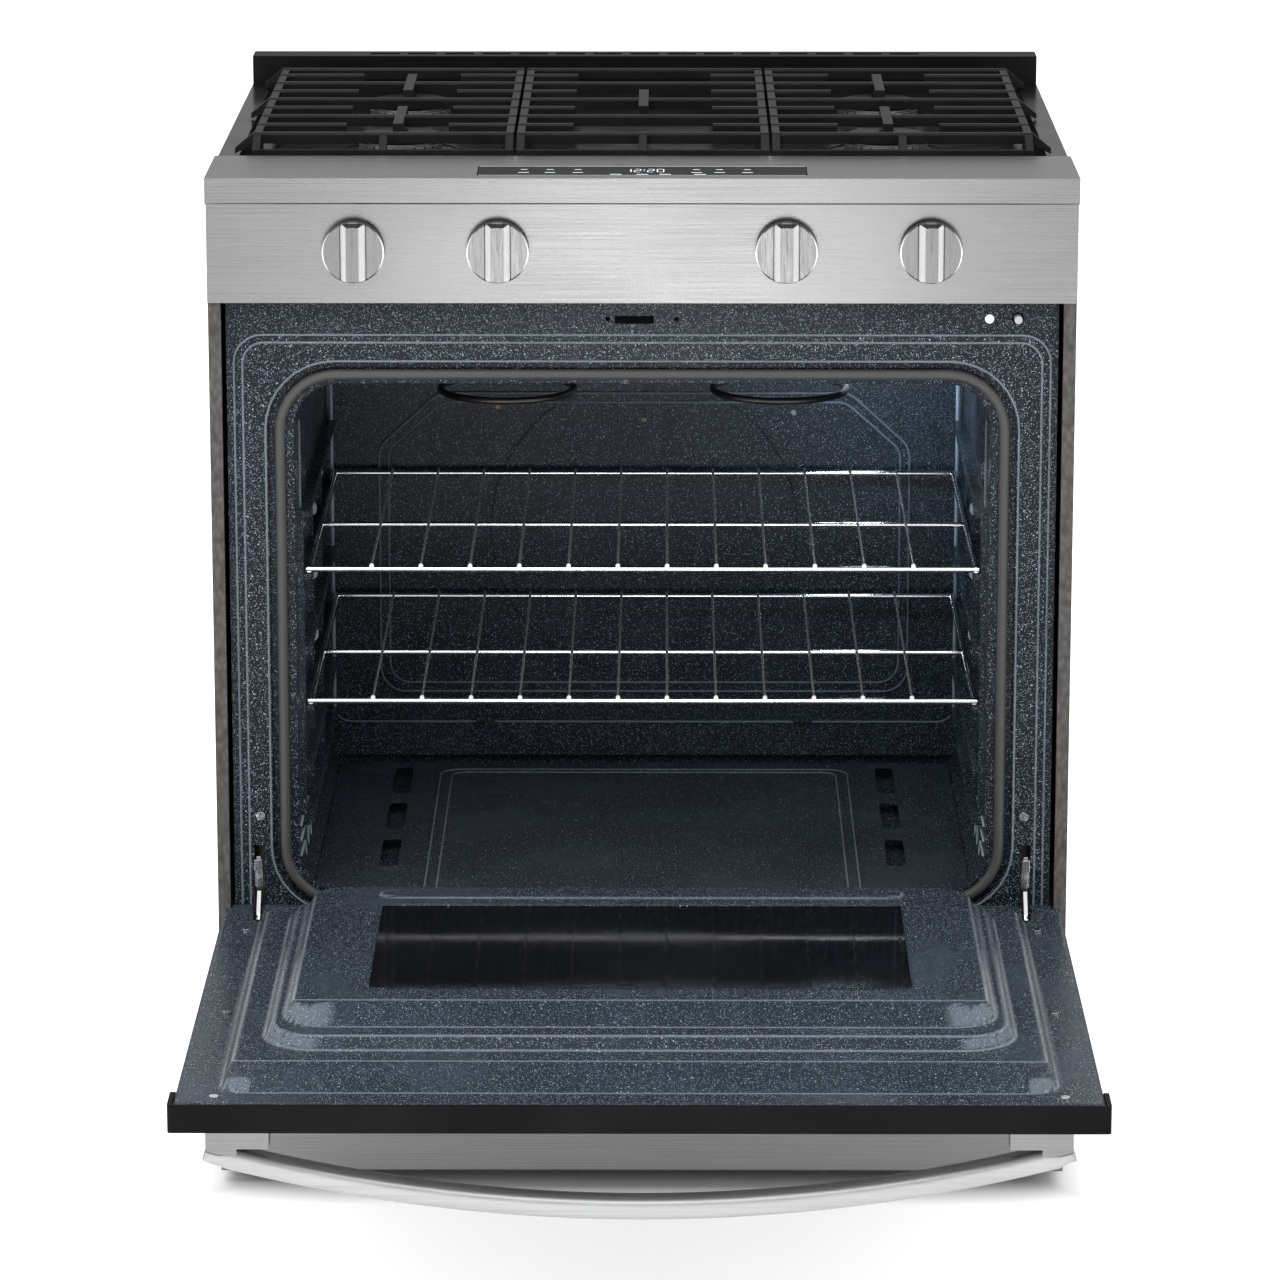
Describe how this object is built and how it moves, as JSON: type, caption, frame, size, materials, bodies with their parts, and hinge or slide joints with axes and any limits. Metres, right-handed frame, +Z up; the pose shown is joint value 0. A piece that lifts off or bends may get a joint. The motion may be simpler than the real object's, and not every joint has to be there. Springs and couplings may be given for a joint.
{
  "type": "freestanding gas range",
  "caption": "Freestanding gas range with a front control console, cast-iron grates, a lowered oven door with a bowed handle, wire racks and a storage drawer.",
  "frame": {"origin": "on the floor under the middle of the range with its oven door lowered", "axes": "+Z up, the front faces -Y, +X is to the right of a person facing the front"},
  "size_m": [0.759, 1.205, 0.937],
  "materials": {
    "stainless": "brushed",
    "knob_metal": "satin",
    "speckled_enamel": "gloss speckled enamel",
    "black_enamel": "gloss enamel",
    "side_paint": "pebbled",
    "black_trim": "satin",
    "galvanised": "galvanised",
    "cast_iron": "matt enamel",
    "aluminium": "cast",
    "chrome": "bright",
    "black_glass": "gloss",
    "lamp_glass": "clear",
    "brass": "satin",
    "gasket_weave": "woven glass fibre",
    "wool": "mineral wool",
    "ceramic": "matt",
    "black_plastic": "matt",
    "grey_plastic": "satin",
    "burner_steel": "heat stained"
  },
  "bodies": {
    "range": {"bake_burner": "burner_steel", "base_frame": "galvanised", "broil_burner": "burner_steel", "burner_caps": "black_enamel", "burner_electrodes": "ceramic", "burner_heads": "aluminium", "console_panel": "stainless", "control_board": "black_plastic", "cooktop": "black_enamel", "cord_bushing": "black_plastic", "display_glass": "black_glass", "door_gasket": "gasket_weave", "door_switch": "black_plastic", "frame_screws": "chrome", "gas_manifold": "aluminium", "gas_regulator": "aluminium", "gas_valves": "brass", "hinge_hooks": "chrome", "oven_cavity": "speckled_enamel", "oven_floor": "speckled_enamel", "oven_front_frame": "speckled_enamel", "oven_insulation": "wool", "oven_lamp": "lamp_glass", "rear_panel": "galvanised", "rear_trim": "black_trim", "side_panel_left": "side_paint", "side_panel_right": "side_paint", "temperature_sensor": "chrome"},
    "door": {"door_liner": "speckled_enamel", "door_outer_panel": "stainless", "door_outer_glass": "black_glass", "door_inner_glass": "black_glass", "door_insulation": "wool", "door_trim": "black_trim", "door_handle": "stainless", "handle_brackets": "stainless", "hinge_bodies": "galvanised", "door_screws": "chrome"},
    "drawer": {"drawer_front": "stainless", "drawer_box": "galvanised"},
    "grate_centre": {"grate_centre": "cast_iron"},
    "grate_left": {"grate_left": "cast_iron"},
    "grate_right": {"grate_right": "cast_iron"},
    "hinge_latch_left": {"hinge_latch_left": "chrome"},
    "hinge_latch_right": {"hinge_latch_right": "chrome"},
    "knob_left_inner": {"knob_left_inner": "knob_metal"},
    "knob_left_outer": {"knob_left_outer": "knob_metal"},
    "knob_right_inner": {"knob_right_inner": "knob_metal"},
    "knob_right_outer": {"knob_right_outer": "knob_metal"},
    "levelling_foot_front_left": {"levelling_foot_front_left": "black_plastic"},
    "levelling_foot_front_right": {"levelling_foot_front_right": "black_plastic"},
    "levelling_foot_rear_left": {"levelling_foot_rear_left": "black_plastic"},
    "levelling_foot_rear_right": {"levelling_foot_rear_right": "black_plastic"},
    "rack_lower": {"rack_lower": "chrome"},
    "rack_upper": {"rack_upper": "chrome"},
    "switch_plunger": {"switch_plunger": "grey_plastic"},
    "valve_stem_left_inner": {"valve_stem_left_inner": "chrome"},
    "valve_stem_left_outer": {"valve_stem_left_outer": "chrome"},
    "valve_stem_right_inner": {"valve_stem_right_inner": "chrome"},
    "valve_stem_right_outer": {"valve_stem_right_outer": "chrome"}
  },
  "joints": [
    {"name": "door_hinge", "type": "hinge", "parent": "range", "child": "door", "pos_m": [0, -0.0455, 0.243], "axis": [-1, 0, 0], "range_deg": [0, 90]},
    {"name": "hinge_latch_left_flip", "type": "hinge", "parent": "range", "child": "hinge_latch_left", "pos_m": [-0.343, -0.0215, 0.276], "axis": [-1, 0, 0], "range_deg": [-75, 0]},
    {"name": "hinge_latch_right_flip", "type": "hinge", "parent": "range", "child": "hinge_latch_right", "pos_m": [0.343, -0.0215, 0.276], "axis": [-1, 0, 0], "range_deg": [-75, 0]},
    {"name": "rack_lower_slide", "type": "slide", "parent": "range", "child": "rack_lower", "axis": [0, 1, 0], "range_m": [-0.3, 0]},
    {"name": "rack_upper_slide", "type": "slide", "parent": "range", "child": "rack_upper", "axis": [0, 1, 0], "range_m": [-0.3, 0]},
    {"name": "drawer_slide", "type": "slide", "parent": "range", "child": "drawer", "axis": [0, -1, 0], "range_m": [0, 0.44]},
    {"name": "valve_left_outer_turn", "type": "hinge", "parent": "range", "child": "valve_stem_left_outer", "pos_m": [-0.251, -0.0475, 0.851], "axis": [0, 1, 0], "range_deg": [0, 270]},
    {"name": "knob_left_outer_push", "type": "slide", "parent": "valve_stem_left_outer", "child": "knob_left_outer", "axis": [0, 1, 0], "range_m": [0, 0.003], "stiffness_N_per_m": 2000, "springref_m": -0.001},
    {"name": "valve_left_inner_turn", "type": "hinge", "parent": "range", "child": "valve_stem_left_inner", "pos_m": [-0.1255, -0.0475, 0.851], "axis": [0, 1, 0], "range_deg": [0, 270]},
    {"name": "knob_left_inner_push", "type": "slide", "parent": "valve_stem_left_inner", "child": "knob_left_inner", "axis": [0, 1, 0], "range_m": [0, 0.003], "stiffness_N_per_m": 2000, "springref_m": -0.001},
    {"name": "valve_right_inner_turn", "type": "hinge", "parent": "range", "child": "valve_stem_right_inner", "pos_m": [0.1255, -0.0475, 0.851], "axis": [0, 1, 0], "range_deg": [0, 270]},
    {"name": "knob_right_inner_push", "type": "slide", "parent": "valve_stem_right_inner", "child": "knob_right_inner", "axis": [0, 1, 0], "range_m": [0, 0.003], "stiffness_N_per_m": 2000, "springref_m": -0.001},
    {"name": "valve_right_outer_turn", "type": "hinge", "parent": "range", "child": "valve_stem_right_outer", "pos_m": [0.251, -0.0475, 0.851], "axis": [0, 1, 0], "range_deg": [0, 270]},
    {"name": "knob_right_outer_push", "type": "slide", "parent": "valve_stem_right_outer", "child": "knob_right_outer", "axis": [0, 1, 0], "range_m": [0, 0.003], "stiffness_N_per_m": 2000, "springref_m": -0.001},
    {"name": "grate_left_lift", "type": "slide", "parent": "range", "child": "grate_left", "axis": [0, 0, 1], "range_m": [0, 0.15]},
    {"name": "grate_centre_lift", "type": "slide", "parent": "range", "child": "grate_centre", "axis": [0, 0, 1], "range_m": [0, 0.15]},
    {"name": "grate_right_lift", "type": "slide", "parent": "range", "child": "grate_right", "axis": [0, 0, 1], "range_m": [0, 0.15]},
    {"name": "levelling_foot_front_left_screw", "type": "slide", "parent": "range", "child": "levelling_foot_front_left", "axis": [0, 0, -1], "range_m": [0, 0.02]},
    {"name": "levelling_foot_front_right_screw", "type": "slide", "parent": "range", "child": "levelling_foot_front_right", "axis": [0, 0, -1], "range_m": [0, 0.02]},
    {"name": "levelling_foot_rear_left_screw", "type": "slide", "parent": "range", "child": "levelling_foot_rear_left", "axis": [0, 0, -1], "range_m": [0, 0.02]},
    {"name": "levelling_foot_rear_right_screw", "type": "slide", "parent": "range", "child": "levelling_foot_rear_right", "axis": [0, 0, -1], "range_m": [0, 0.02]},
    {"name": "switch_plunger_travel", "type": "slide", "parent": "range", "child": "switch_plunger", "axis": [0, 1, 0], "range_m": [0, 0.005], "stiffness_N_per_m": 300, "springref_m": -0.002}
  ]
}
